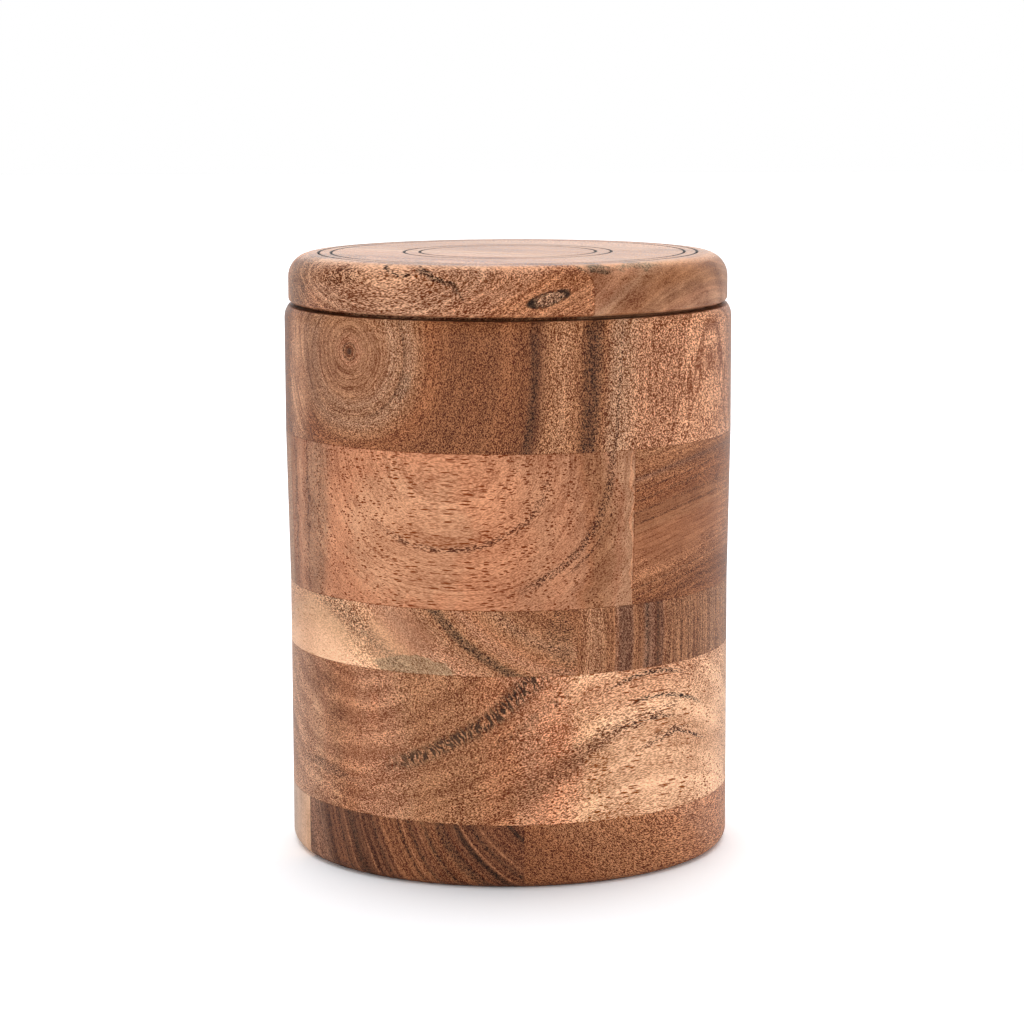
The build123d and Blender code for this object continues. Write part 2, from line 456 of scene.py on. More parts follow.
dull = calc(tree, "MULTIPLY_ADD", given["Pores"], 0.25, oiled_roughness)
dull = calc(tree, "MULTIPLY_ADD", given["Fibre"], 0.06, dull)
rougher = calc(tree, "MULTIPLY_ADD", given["Polish and painted sheen"], -0.32, 1.0)
tree.links.new(calc(tree, "MULTIPLY", dull, rougher), wanted["Roughness"])
rise = calc(tree, "MULTIPLY_ADD", given["Fibre"], 0.35, calc(tree, "MULTIPLY", given["Pores"], -1.0))
tree.links.new(calc(tree, "MULTIPLY", rise, rougher), wanted["Height"])
print("finish group:", len(tree.nodes), "nodes")

# %% [markdown]
# ## The colours of the wood
# One kind of tree gives every colour here: dark heartwood from the middle of the trunk, pale
# sapwood from under the bark, and salmon, tan and grey in between. The named colours are the
# maker's set of stains, and each board picks from them, a little lighter or darker.

# %% Named colours
wood_colours = {
    "black line": (0.05, 0.02, 0.01), "cocoa": (0.148, 0.047, 0.021), "umber": (0.233, 0.0765, 0.032),
    "plum": (0.22, 0.088, 0.05), "chestnut": (0.30, 0.11, 0.05), "russet": (0.39, 0.146, 0.07),
    "walnut": (0.35, 0.14, 0.068), "tan brown": (0.365, 0.157, 0.083), "clay": (0.43, 0.18, 0.1),
    "grey tan": (0.38, 0.18, 0.106), "grey green": (0.29, 0.165, 0.098), "tan": (0.54, 0.25, 0.15),
    "salmon": (0.58, 0.233, 0.127), "apricot": (0.69, 0.315, 0.183), "straw": (0.59, 0.29, 0.168),
    "pale": (0.73, 0.39, 0.235), "cream": (0.765, 0.42, 0.268), "ivory": (0.6, 0.4, 0.33),
}


def stain(name, shade=1.0):
    """A named colour as red, green, blue and alpha, made lighter or darker by shade."""
    return (*(min(part * shade, 0.95) for part in wood_colours[name]), 1)


print("colours:", ", ".join(wood_colours))

# %% [markdown]
# ## From a log to a board
# Each board gets its own material, because each was sawn from its own place in its own log.
# A board's grain runs at a right angle to its across direction. That angle is measured on
# the jar from the front towards the right. The pith lies some way across from the jar's axis
# at some height, and the Mapping node turns the jar's coordinates into that log's. The
# colours of the wood are then a ramp that runs outwards from the pith, ring by ring. Streaks
# and patches lie over it, and drift off their places a little, so that no edge is even.


# %% Sizes and places on the jar
to_mm = (1 / MM,) * 3
wall_radius = 57.0
stroke_half = (0.55, 60, 2.4)
drift_span = 5 * MM
drift_scale = 220
pore_depth = 0.1 * MM
polish_and_sheen_starts = 150.8
polish_and_sheen_is_full = 152.2
no_joint = 1000


def outwards(angle):
    """The level direction that points out of the jar at an angle from the front."""
    return Vector((sin(radians(angle)), -cos(radians(angle)), 0))


def oval(tree, place, at, half, turn=0.0):
    """Coordinates that make an oval on the jar into a unit ball. at is its angle, its distance
    from the axis and its height, and half has its half sizes across, in and up, in mm."""
    angle, radius, height = at
    middle = outwards(angle) * radius * MM
    inputs = {"Vector": place, "Location": (middle.x, middle.y, height * MM),
              "Rotation": (0, -radians(turn), radians(angle)), "Scale": [size * MM for size in half]}
    return add(tree, "ShaderNodeMapping", inputs, vector_type="TEXTURE").outputs[0]


def in_log(tree, place, across, middle, height, squash=1.0):
    """The jar's coordinates as a log's, in mm. The log's pith lies middle mm out in the across
    direction, at a height, and squash makes its rings into ovals."""
    # An oval's second axis points inwards and a log's points outwards, hence the half turn.
    return oval(tree, place, (across - 180, -middle, height), (1, 1, 1 / squash))


print("the right of the jar points along", outwards(90))

# %% Streaks and patches of a board
def streak(ring, half_width, at, reach, solid, *colour, strokes=None):
    """A mineral streak along one ring. at is its middle, as an angle and a height, reach is how
    far it fades out from there, and solid is how much of it isn't broken into specks. strokes
    breaks it into short strokes instead, which rise to the right at that angle."""
    return dict(ring=ring, half_width=half_width, at=at, reach=reach, solid=solid, colour=colour,
                strokes=strokes)


def patch(at, half, *colour, solid=1.0, edge=0.3, turn=0, calm=0):
    """A soft oval that has a colour, or calms the figure of the wood, or both."""
    return dict(at=at, half=half, colour=colour, solid=solid, edge=edge, turn=turn, calm=calm)


def paint_patches(tree, place, speckle, colour, patches):
    """Blend the patches of a board into its colour. Returns the colour and where it is calm."""
    calm = 0.0
    for mark in patches:
        ball = oval(tree, place, mark["at"], mark["half"], mark["turn"])
        inputs = {"Place": ball, "Broken": speckle, "Solid": mark["solid"], "Edge": mark["edge"]}
        mask = use(tree, patch_group, inputs)["Mask"]
        if mark["colour"]:
            colour = blend(tree, mask, colour, stain(*mark["colour"]))
        if mark["calm"]:
            calm = calc(tree, "MAXIMUM", calc(tree, "MULTIPLY", mask, mark["calm"]), calm)
    return colour, calm


def paint_streaks(tree, place, place_mm, wood, colour, streaks):
    """Blend the streaks of a board into its colour. wood is what its log gives."""
    for mark in streaks:
        angle, height = mark["at"]
        middle = outwards(angle) * wall_radius
        broken = wood["Speckle"]
        if mark["strokes"]:
            strip = oval(tree, place, (angle, wall_radius, height), stroke_half, mark["strokes"])
            broken = remap(tree, noise(tree, strip, detail=1)[0], 0.46, 0.53)
        mask = use(tree, streak_group, {
            "Radius": wood["Radius"], "Broken": broken, "Place": place_mm, "Ring": mark["ring"],
            "Half width": mark["half_width"], "Solid": mark["solid"],
            "Middle": (middle.x, middle.y, height), "Reach": mark["reach"]})["Mask"]
        colour = blend(tree, mask, colour, stain(*mark["colour"]))
    return colour


# %% Ring colours
def ring_colours(tree, reach, rings):
    """The colour at a distance from the pith, which blends from each ring to the next."""
    inner, outer = rings[0][0], rings[-1][0]
    share = add(tree, "ShaderNodeMapRange", {0: reach, 1: inner, 2: outer}).outputs[0]
    ramp = add(tree, "ShaderNodeValToRGB", {0: share})
    stops = ramp.color_ramp.elements
    while len(stops) < len(rings):
        stops.new(0.5)
    for stop, (ring, *colour) in zip(stops, rings):
        stop.position = (ring - inner) / (outer - inner)
        stop.color = stain(*colour)
    return ramp.outputs[0]


# %% The board material
def oiled_board(node, pith, rings, layer_across, across=None, seed=0, joints=(), grain=None,
                finish=None, streaks=(), patches=(), knots=(), tide=None, cut_rings=False):
    """Give one board its wood. pith is how far across and how high, in mm, and rings is a list
    of (distance from the pith in mm, colour, shade). across is given where it isn't the
    layer's own. joints are the upright glue joints, in mm from the axis in the layer's across
    direction. Colour doesn't always keep to the rings, as when heartwood creeps outwards: tide
    gives it a middle of its own, as (across angle, how far, how high, squash)."""
    across = layer_across if across is None else across
    material = bpy.data.materials.new(node + "_wood")
    tree = start_tree(material)
    place = add(tree, "ShaderNodeTexCoord").outputs["Object"]
    place_mm = vector(tree, "MULTIPLY", place, to_mm)
    drift = vector(tree, "SUBTRACT", noise(tree, place, scale=drift_scale)["Color"], (0.5, 0.5, 0.5))
    drifted = vector(tree, "ADD", place, vector(tree, "MULTIPLY", drift, (drift_span,) * 3))

    push = 0.0
    branches = []
    for knot in knots:
        ball = oval(tree, place, knot["at"], knot["half"], knot["turn"])
        branch = add(tree, "ShaderNodeGroup", {"Place": ball}, node_tree=knot_group)
        push = calc(tree, "MULTIPLY_ADD", branch.outputs["Nearness"], knot["push"], push)
        branches.append(branch)
    sawn_at = in_log(tree, place, across, *pith)
    wood = use(tree, grain_group, {"Place": sawn_at, "Seed": seed, "Push": push, **(grain or {})})
    reach = wood["Radius"]
    if tide:
        in_tide = in_log(tree, drifted, *tide)
        reach = vector(tree, "LENGTH", vector(tree, "MULTIPLY", in_tide, (0, 1, 1)))

    colour = ring_colours(tree, reach, rings)
    colour, calm = paint_patches(tree, drifted, wood["Speckle"], colour, patches)
    colour = paint_streaks(tree, drifted, place_mm, wood, colour, streaks)
    for branch in branches:
        tree.links.new(wood["Speckle"], branch.inputs["Broken"])
        inside = blend(tree, wood["Speckle"], stain("grey tan", 1.1), stain("cocoa"))
        colour = blend(tree, branch.outputs["Heart"], colour, inside)
        colour = blend(tree, branch.outputs["Bark"], colour, stain("black line", 0.6))
    polish_and_sheen = 0.0
    if cut_rings:
        mask = use(tree, groove_shade_group, {"Place": place_mm})["Mask"]
        # Painted shade: the cut rings are painted dark, and they also lose their polish and painted sheen.
        colour = blend(tree, mask, colour, stain("cocoa", 0.2))
        # Polish and painted sheen: the lid's top and arris are glossier and painted lighter, but not in the
        # cut rings.
        polish_and_sheen = remap(tree, split(tree, place_mm)[2], polish_and_sheen_starts, polish_and_sheen_is_full)
        polish_and_sheen = calc(tree, "MULTIPLY", polish_and_sheen, calc(tree, "MULTIPLY_ADD", mask, -1.5, 1.0))

    low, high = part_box(node)
    first, second = [*joints, no_joint, no_joint][:2]
    glue = use(tree, glue_group, {
        "Place": place_mm, "Across": outwards(layer_across), "Bottom": low.z / MM, "Top": high.z / MM,
        "First joint": first, "Second joint": second})["Mask"]
    figure = {name: wood[name] for name in ("Lines", "Hairlines", "Fibre", "Pores", "Clouds")}
    oiled = use(tree, finish_group, {
        "Wood": colour, "Glue": glue, "Polish and painted sheen": polish_and_sheen, "Calm": calm, **figure, **(finish or {})})
    pits = add(tree, "ShaderNodeBump", {
        "Height": oiled["Height"], "Strength": 0.5, "Distance": pore_depth})
    shader = add(tree, "ShaderNodeBsdfPrincipled", {
        "Base Color": oiled["Colour"], "Roughness": oiled["Roughness"], "Normal": pits.outputs[0],
        "Specular IOR Level": 0.25})
    add(tree, "ShaderNodeOutputMaterial", {"Surface": shader.outputs[0]})
    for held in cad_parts[node].material_slots:
        held.material = material


# %% [markdown]
# ## The rim
# The rim board is heartwood sawn near the middle of the tree. The pith comes out of its left
# side as a small dark eye with rings round it, and towards the right the same rings are so
# wide that they run straight up and down.

# %% Rim layer
rim = dict(layer_across=44, joints=(-41.15,))
oiled_board(
    "rim_ring_main_board", across=62, pith=(-14.2, 131), seed=1.0, **rim,
    rings=[
        (0, "cocoa", 0.4), (0.6, "cocoa", 0.6), (1.1, "walnut"), (3, "clay", 1.05), (5, "tan brown", 1.1),
        (11, "tan brown", 1.1), (13, "grey tan", 1.06), (15.5, "tan brown", 0.95), (17.5, "grey tan"),
        (20, "walnut", 0.95), (22.5, "umber", 1.18), (24, "umber", 1.21), (26, "umber", 1.03),
        (28, "umber", 0.94), (32, "umber", 0.86), (34.5, "umber", 0.97), (38, "umber", 0.84),
        (41, "umber", 1.03), (45, "umber", 0.85), (46.2, "cocoa"), (47.6, "cocoa"), (49.5, "walnut", 0.96),
        (52, "tan brown", 1.1), (54.3, "walnut"), (56, "umber", 0.95), (57.5, "cocoa", 1.1),
        (59.5, "chestnut", 0.95), (61, "grey tan", 0.98), (63, "grey tan", 1.1), (65, "clay", 0.98),
        (69.5, "clay", 1.1), (71.8, "apricot", 0.97),
    ],
    streaks=[
        streak(16.2, 0.5, (-27, 130), 22, 0.4, "cocoa"),
        streak(2.0, 0.35, (-42, 131), 8, 0.6, "cocoa"),
        streak(46.6, 1.1, (7, 118), 26, 0.25, "black line", 1.1),
        streak(57.3, 1.9, (21, 118), 34, 0.25, "black line", 1.1),
        streak(61.9, 0.3, (28, 124), 22, 0.2, "cocoa"),
    ],
    patches=[
        patch((-26, 57, 123.5), (1.6, 3, 3.4), "grey tan", 0.6, turn=-20, solid=0.35),
        patch((-67, 57, 124), (5.5, 20, 18), "grey tan", 1.5, solid=0.85, edge=0.5),
        patch((-44, 57, 130), (13, 20, 13), edge=0.35, calm=0.6),
        patch((-62, 57, 124), (10, 20, 22), edge=0.35, calm=0.5),
        patch((70, 57, 120), (26, 20, 22), edge=0.4, calm=0.35),
        patch((165, 57, 120), (54, 40, 26), edge=0.4, calm=0.6),
        patch((143, 57, 118), (10, 30, 40), "chestnut", 1.1, turn=6, solid=0.6, edge=0.6),
        patch((172, 57, 118), (6, 30, 40), "umber", 1.1, turn=4, solid=0.5, edge=0.6),
        patch((190, 57, 118), (4, 30, 40), "walnut", turn=3, solid=0.5, edge=0.6),
    ],
    grain={"Wobble": 0.5, "Wobble size": 28, "Straighten": 55, "Line spacing": 1.2},
    finish={"Hairline contrast": 0.6, "Line contrast": 0.5},
)
oiled_board(
    "rim_ring_back_strip", pith=(-95, 160), seed=2.0, **rim,
    rings=[(30, "tan brown"), (45, "clay"), (60, "chestnut"), (75, "walnut")], finish={"Fibre contrast": 1.8},
)

# %% [markdown]
# ## The upper layer
# The wide front board was sawn flat, with the pith out in front of it, so its rings make
# open arches of salmon wood full of long dark pores. Both its ends run into the darker band
# that comes next in the log. The boards on its left and right show their end grain.

# %% Upper layer
upper = dict(layer_across=-21.0)
oiled_board(
    "upper_ring_front_board", across=-16, pith=(111, 104), seed=3.0, joints=(33.7,), **upper,
    tide=(-26.5, 111, 86, 1),
    rings=[
        (54, "apricot", 1.02), (56, "apricot", 0.95), (58, "salmon", 1.12), (60, "salmon", 1.06),
        (62, "salmon"), (64, "clay", 1.2), (66, "clay", 1.2), (67.8, "salmon", 0.9), (69.5, "clay", 1.19),
        (71, "clay", 1.1), (72.5, "russet", 1.07), (74, "walnut", 1.03), (75.5, "walnut", 1.05),
        (77, "tan brown", 1.13), (78.5, "clay", 1.1), (80, "grey tan", 1.3), (84, "grey tan", 1.3),
    ],
    streaks=[
        streak(68.6, 0.9, (19, 92), 30, 0.0, "cocoa", 0.9),
        streak(70.5, 0.4, (24, 84), 14, -0.1, "cocoa", 1.1),
        streak(59.9, 0.5, (-8, 87), 30, -0.2, "cocoa", 1.1),
    ],
    patches=[
        patch((32.2, 56.8, 88), (0.5, 3, 21), "apricot", solid=0.9, edge=0.2),
        patch((-58, 56.8, 88), (6, 20, 26), "grey tan", turn=-4, solid=0.5, edge=0.5),
        patch((-62, 56.8, 88), (0.5, 5, 24), "cocoa", 1.4, turn=-2, solid=0.2),
        patch((-66, 56.8, 88), (0.9, 5, 26), "tan", 1.05, turn=-1, solid=0.6),
        patch((-70, 56.8, 88), (1.0, 5, 24), "walnut", 0.8, solid=0.5),
    ],
    grain={"Wobble": 0.8, "Wobble size": 26, "Squash": 1.27, "Line spacing": 1.2, "Fibre length": 1.0,
           "Pore width": 0.22, "Pore spacing": 0.52, "Pore length": 2.0},
    finish={"Fibre contrast": 0.62, "Pore darkness": 2.0, "Line contrast": 0.2, "Hairline contrast": 0.2},
)
oiled_board(
    "upper_ring_right_board", pith=(-6.5, -50), seed=4.0, joints=(-31.15, 33.7), **upper,
    rings=[
        (118, "umber", 1.08), (122, "umber", 1.15), (124.5, "umber", 0.95), (127, "umber", 1.15),
        (128.5, "chestnut", 1.15), (133, "russet", 0.98), (135, "russet", 1.03), (138.5, "russet", 1.1),
        (141, "russet", 1.12), (143, "walnut", 1.18), (144, "chestnut", 1.22), (146, "chestnut", 1.08),
        (149, "umber", 1.3), (152, "umber", 1.27), (154, "chestnut", 1.05), (155, "plum", 1.3),
        (156, "chestnut", 1.1), (158, "chestnut", 1.15), (160, "walnut", 1.05),
    ],
    streaks=[
        streak(ring, half_width, (50, height), 26, 0.15, "cocoa", 1.1)
        for ring, half_width, height in (
            (127.2, 0.4, 74), (129.3, 0.3, 75), (144.5, 0.35, 95), (147.2, 0.3, 97), (150.0, 0.5, 99),
            (152.3, 0.3, 101), (155.2, 0.4, 104))
    ],
    patches=[patch((48, 56.8, 88), (22, 30, 8.5), turn=9, edge=0.35, calm=0.75)],
    grain={"Line spacing": 0.7, "Wobble": 0.6, "Fibre length": 1.2},
    finish={"Line contrast": 0.5, "Hairline contrast": 0.3, "Fibre contrast": 1.7},
)
oiled_board(
    "upper_ring_left_board", pith=(60, 70), seed=5.0, joints=(-31.15, 33.7), **upper,
    rings=[(20, "grey tan", 1.1), (50, "tan brown"), (75, "clay"), (100, "straw", 0.9)],
    finish={"Fibre contrast": 1.6},
)
oiled_board(
    "upper_ring_back_board", pith=(-20, 150), seed=6.0, joints=(-31.15,), **upper,
    rings=[(40, "clay"), (52, "tan"), (60, "salmon"), (75, "walnut"), (84, "tan"), (95, "pale")],
    finish={"Fibre contrast": 1.5},
)

# %% [markdown]
# ## The middle layer
# This thin layer has the strongest contrast. Its left board goes from brown heartwood
# across a black, speckled mineral streak to cream sapwood, and its right board is a row of
# upright stripes from purple brown to nearly black.

# %% Middle layer
middle = dict(layer_across=-62, joints=(10.55,))
oiled_board(
    "middle_ring_left_board", pith=(6.8, 88.6), seed=7.0, **middle,
    rings=[
        (20, "umber"), (23, "chestnut", 1.04), (25, "chestnut", 0.9), (28, "walnut", 0.96),
        (30, "tan brown"), (32.5, "walnut", 1.02), (34, "russet", 0.95), (36, "clay", 0.97),
        (38, "walnut", 1.02), (39.5, "walnut", 0.96), (41, "walnut"), (42.3, "tan brown", 1.07),
        (44.5, "clay", 1.05), (46.5, "tan", 0.94), (48, "tan", 1.13), (50, "straw", 1.12), (51.4, "straw"),
        (52, "straw"), (53.5, "straw", 1.08), (54.6, "pale", 0.93), (56, "pale", 1.04),
        (57.5, "cream", 1.17), (62, "cream", 1.2),
    ],
    streaks=[
        streak(39.6, 1.3, (-11, 61), 24, 0.4, "black line", 0.8),
        streak(30.2, 1.6, (6, 64), 13, -0.3, "cocoa", 0.9),
        streak(52.6, 1.6, (-44, 62), 26, -0.25, "grey green", 0.9),
    ],
    patches=[
        patch((-25, 57, 54.4), (11, 8, 2.6), "grey green", 1.38, solid=0.85, edge=0.12, calm=0.5),
        patch((13.0, 57, 61), (3.0, 6, 9), "cocoa", 0.8, turn=8, solid=-0.1),
        patch((-62, 57, 58), (18, 30, 12), calm=0.7),
        patch((-29, 57, 62), (10, 30, 8), calm=0.6),
        patch((180, 57, 61), (48, 40, 14), calm=0.55),
    ],
    grain={"Wobble": 0.7},
    finish={"Fibre contrast": 2.3},
)
oiled_board(
    "middle_ring_right_board", pith=(90, 61), seed=8.0, **middle,
    rings=[
        (79, "umber"), (80, "chestnut"), (82.5, "tan brown", 1.08), (85, "tan brown"),
        (86.4, "walnut", 0.9), (87.2, "chestnut", 0.9), (89.2, "chestnut", 0.97), (90.2, "plum", 1.08),
        (91.4, "plum", 0.84), (93, "plum", 0.9), (94.2, "plum"), (95, "chestnut", 0.87),
        (97.3, "chestnut", 0.84), (98.3, "plum", 0.9), (99.2, "plum", 0.84), (100.8, "plum", 1.08),
        (101.8, "cocoa", 1.15), (102.6, "cocoa", 1.15), (103.6, "plum", 0.9), (104.6, "chestnut", 0.97),
        (106, "walnut", 0.87), (107.4, "chestnut", 0.88), (109, "walnut", 0.87), (110.4, "chestnut", 0.93),
        (114, "walnut", 0.85), (116.5, "chestnut", 0.87), (119, "walnut", 0.8), (121, "walnut", 0.92),
        (124, "tan brown", 0.9), (127, "walnut", 0.88),
    ],
    streaks=[
        streak(102.3, 0.6, (46, 61), 20, 0.3, "black line"),
        streak(98.8, 0.6, (42, 61), 20, 0.0, "black line"),
        streak(90.2, 0.3, (34, 61), 20, 0.2, "tan", 0.8),
        streak(104.6, 0.3, (48, 61), 20, 0.2, "tan", 0.9),
        streak(110.6, 0.4, (54, 61), 20, 0.1, "cocoa"),
    ],
    grain={"Wobble": 0.35, "Line spacing": 0.8},
    finish={"Line contrast": 1.3, "Hairline contrast": 0.4, "Fibre contrast": 2.6},
)

# %% [markdown]
# ## The lower layer
# One great board goes round most of the jar. At the left the rings are seen end on, and
# sweeping to the right they open into long arches, from brown through a ragged black streak
# to pale wood with dark dashes.

# %% Lower layer
lower = dict(layer_across=34, joints=(-36.15,))
oiled_board(
    "lower_ring_front_board", across=40, pith=(4.9, 76.8), seed=9.0, **lower,
    tide=(52.3, -94, 29.5, 1.19),
    rings=[
        (67, "tan", 0.85), (71, "tan", 0.85), (75, "grey tan", 1.2), (79, "clay", 1.04),
        (82, "tan brown", 1.12), (86, "russet"), (90, "russet", 1.05), (93, "clay", 1.03),
        (96, "clay", 1.03), (102, "clay", 0.99), (106, "tan brown", 1.1), (109, "walnut", 1.03),
        (112, "walnut"), (118, "walnut"), (122, "walnut", 1.06), (125, "russet"), (129, "russet", 1.05),
        (132, "clay", 1.06), (135, "salmon", 0.88), (137.5, "salmon", 1.06), (140, "apricot", 0.98),
        (142.5, "pale", 1.08), (145.5, "cream", 1.12), (149, "cream", 1.2), (152, "cream", 1.16),
    ],
    streaks=[
        streak(48.6, 2.3, (-8, 39), 31, 0.15, "black line", 1.1, strokes=32),
        streak(54.0, 1.1, (8, 37), 17, -0.3, "cocoa", strokes=32),
        streak(57.3, 0.35, (38, 44), 16, 0.1, "black line", 1.3),
        streak(60.6, 0.35, (45, 40), 16, 0.2, "black line", 1.3),
        streak(63.6, 0.3, (38, 34), 13, 0.0, "cocoa", 0.8),
        streak(66.0, 0.3, (50, 33), 13, 0.0, "cocoa"),
    ],
    patches=[
        patch((-55, 56, 47), (7, 8, 2.8), "chestnut", solid=0.6),
        patch((-49.5, 56, 38), (6, 8, 4.5), "chestnut", solid=0.55),
        patch((-41, 56, 35), (4, 8, 3), "chestnut", 1.1, turn=35, solid=0.2),
        patch((-36.5, 56, 42), (2, 8, 4.6), "salmon", turn=-12, solid=0.75),
        patch((-52, 56, 25), (15, 8, 1.6), "cocoa", 1.1, turn=-6, solid=0.2),
        patch((-50, 56, 40), (18, 30, 12), calm=0.35),
        patch((-39, 56.5, 33), (7, 30, 12), "clay", 1.2, solid=0.45, edge=0.6),
        patch((150, 57, 35), (54, 40, 26), edge=0.4, calm=0.6),
        patch((118, 57, 33), (24, 30, 7), "tan", 1.05, turn=-12, solid=0.6, edge=0.6),
        patch((150, 57, 42), (26, 30, 5), "umber", 1.2, turn=-8, solid=0.5, edge=0.6),
        patch((160, 57, 27), (30, 30, 4), "salmon", 0.9, turn=-5, solid=0.5, edge=0.6),
        patch((46, 56, 32), (26, 30, 15), turn=12, edge=0.5, calm=0.45),
        patch((36, 56, 49.5), (28, 30, 5.5), "apricot", 0.95, turn=8, solid=0.75, edge=0.6, calm=0.4),
        patch((14, 56.5, 30.3), (19, 30, 2.8), "walnut", 0.9, turn=33, solid=0.45, edge=0.6),
        patch((37, 56.5, 40.5), (12, 30, 1.5), "walnut", 0.9, turn=12, solid=0.1, edge=0.6),
        patch((44, 56.5, 35), (9, 30, 0.9), "umber", 0.9, turn=10, solid=-0.1, edge=0.6),
        patch((-20, 56.5, 44), (10, 30, 2.0), "chestnut", 1.05, turn=40, solid=0.2, edge=0.6),
    ],
    grain={"Wobble": 0.9, "Wobble size": 34, "Line spacing": 3.2, "Fibre length": 0.8, "Pore spacing": 0.62,
           "Pore length": 3.6, "Pore width": 0.24},
    finish={"Pore darkness": 2.2, "Fibre contrast": 2.3, "Line contrast": 0.9},
)
oiled_board(
    "lower_ring_back_strip", pith=(-110, 20), seed=10.0, **lower,
    rings=[(50, "clay"), (62, "walnut"), (75, "tan"), (90, "straw")], finish={"Fibre contrast": 1.7},
)

# %% [markdown]
# ## The floor layer
# The darkest wood is at the foot: a purple brown board with slanting stripes and two fine
# black cracks, between a strip of pale sapwood and a warmer brown board on the right.

# %% Floor layer
foot = dict(layer_across=58.5)
oiled_board(
    "floor_middle_board", pith=(60, 38), seed=11.0, joints=(-30.3, 32.4), **foot,
    rings=[
        (30, "cocoa"), (36, "cocoa", 1.2), (38.5, "cocoa", 0.9), (41, "cocoa", 1.3), (43.5, "cocoa", 0.9),
        (46, "cocoa"), (48.5, "cocoa", 0.85), (51, "cocoa"), (53, "umber", 0.8),
        (56, "umber", 0.85), (58, "cocoa", 1.04), (60, "umber", 0.87), (64, "umber", 0.93), (66.5, "umber"),
        (68, "cocoa", 1.03), (72, "cocoa", 0.88), (76, "cocoa", 0.7), (80, "cocoa", 0.85),
        (83, "cocoa", 1.03), (86, "cocoa", 0.7), (88, "plum", 0.72), (90.5, "plum"), (92.5, "plum", 1.15),
        (95, "plum", 0.87), (110, "cocoa"),
    ],
    streaks=[
        streak(38.0, 0.5, (1, 12), 10, 0.6, "black line", 0.5),
        streak(48.0, 0.6, (-8, 8), 12, 0.6, "black line", 0.5),
        *[
            streak(ring, half_width, (-27, 9), 46, 0.2, "black line", 1.1)
            for ring, half_width in (
                (45, 0.5), (48.4, 0.4), (51.8, 1.3), (55.6, 0.6), (59.2, 0.5), (62.1, 0.3), (69.4, 0.4),
                (76.8, 0.9), (81, 0.4))
        ],
        *[
            streak(ring, 0.3, (-27, 9), 46, 0.15, "russet", 0.85)
            for ring in (43.5, 47, 50.1, 53.8, 57.4, 61, 64.6, 67, 73.2, 79)
        ],
    ],
    grain={"Line spacing": 1.1, "Wobble": 0.5},
    finish={"Line contrast": 2.5, "Hairline contrast": 1.0, "Fibre contrast": 4.5},
)
oiled_board(
    "floor_left_board", pith=(10, 8), seed=12.0, joints=(-30.3,), **foot,
    rings=[(30, "straw"), (40, "pale"), (52, "ivory", 1.05), (62, "ivory")],
    streaks=[streak(38.4, 0.3, (-64, 7), 6, 0.3, "umber")],
    finish={"Fibre contrast": 0.6},
)
oiled_board(
    "floor_right_board", pith=(75, 30), seed=13.0, joints=(32.4,), tide=(80, -2.3, -16.3, 1), **foot,
    rings=[
        (25, "umber", 0.98), (30, "umber", 0.92), (33, "umber"), (36, "umber", 1.1), (40, "chestnut", 0.96),
        (44, "chestnut", 1.05), (50, "chestnut", 1.12), (53, "chestnut", 1.2), (55.5, "russet", 1.02),
        (58, "russet", 1.12), (60.5, "clay", 1.1), (64, "salmon", 0.86),
    ],
    patches=[patch((56, 56, 9), (6, 30, 7), calm=0.4)],
    grain={"Fibre length": 0.9},
)

# %% [markdown]
# ## The lid
# The lid's front board shows its side, with a knot where a small branch grew and grain that
# flows round it. Past the joint the middle board shows smoother end grain.

# %% Lid
lid = dict(layer_across=-35, cut_rings=True)
oiled_board(
    "lid_front_board", pith=(20, 120), seed=14.0, joints=(30.75,), **lid,
    rings=[
        (24, "umber", 1.2), (26, "russet"), (28.3, "russet", 1.02), (30, "russet", 0.92),
        (33, "russet", 1.02), (35, "russet"), (36.5, "russet", 1.05), (38, "clay"), (41, "clay", 0.96),
        (42.5, "tan", 0.8), (44, "tan", 0.8), (46, "tan", 0.88), (55, "tan brown"), (65, "straw"),
    ],
    streaks=[
        streak(30.4, 0.5, (-32, 151), 8, 0.3, "cocoa"),
    ],
    patches=[
        patch((-47, 56, 149.2), (6, 8, 2.4), "cocoa", turn=12, solid=-0.35),
        patch((-71, 56, 146.5), (9, 20, 9), "tan brown", 0.75, solid=0.7, edge=0.4),
        patch((-31, 56, 150.9), (5, 8, 0.4), "black line", turn=-8, solid=0.3),
        patch((-19, 56, 149.6), (7.5, 8, 0.65), "black line", 1.3, turn=-24, solid=0.5),
        patch((-15.5, 56, 147.4), (6, 8, 0.42), "cocoa", 0.7, turn=-24, solid=0.4),
        patch((-12, 56, 145.8), (4, 8, 0.4), "cocoa", turn=-26, solid=0.3),
        patch((13.5, 56, 145.8), (1.6, 8, 1.0), "black line", turn=15, solid=0.5),
        patch((20.6, 53.4, 151.4), (2.2, 6, 1.0), "grey green", 0.35, solid=0.5),
    ],
    knots=[dict(at=(9.9, 56, 144.6), half=(4.8, 5, 1.55), turn=15, push=3.0)],
    grain={"Line spacing": 1.0, "Fibre length": 0.8},
    finish={"Fibre contrast": 1.7, "Line contrast": 0.6, "Hairline contrast": 0.4, "Cloud contrast": 0.5},
)
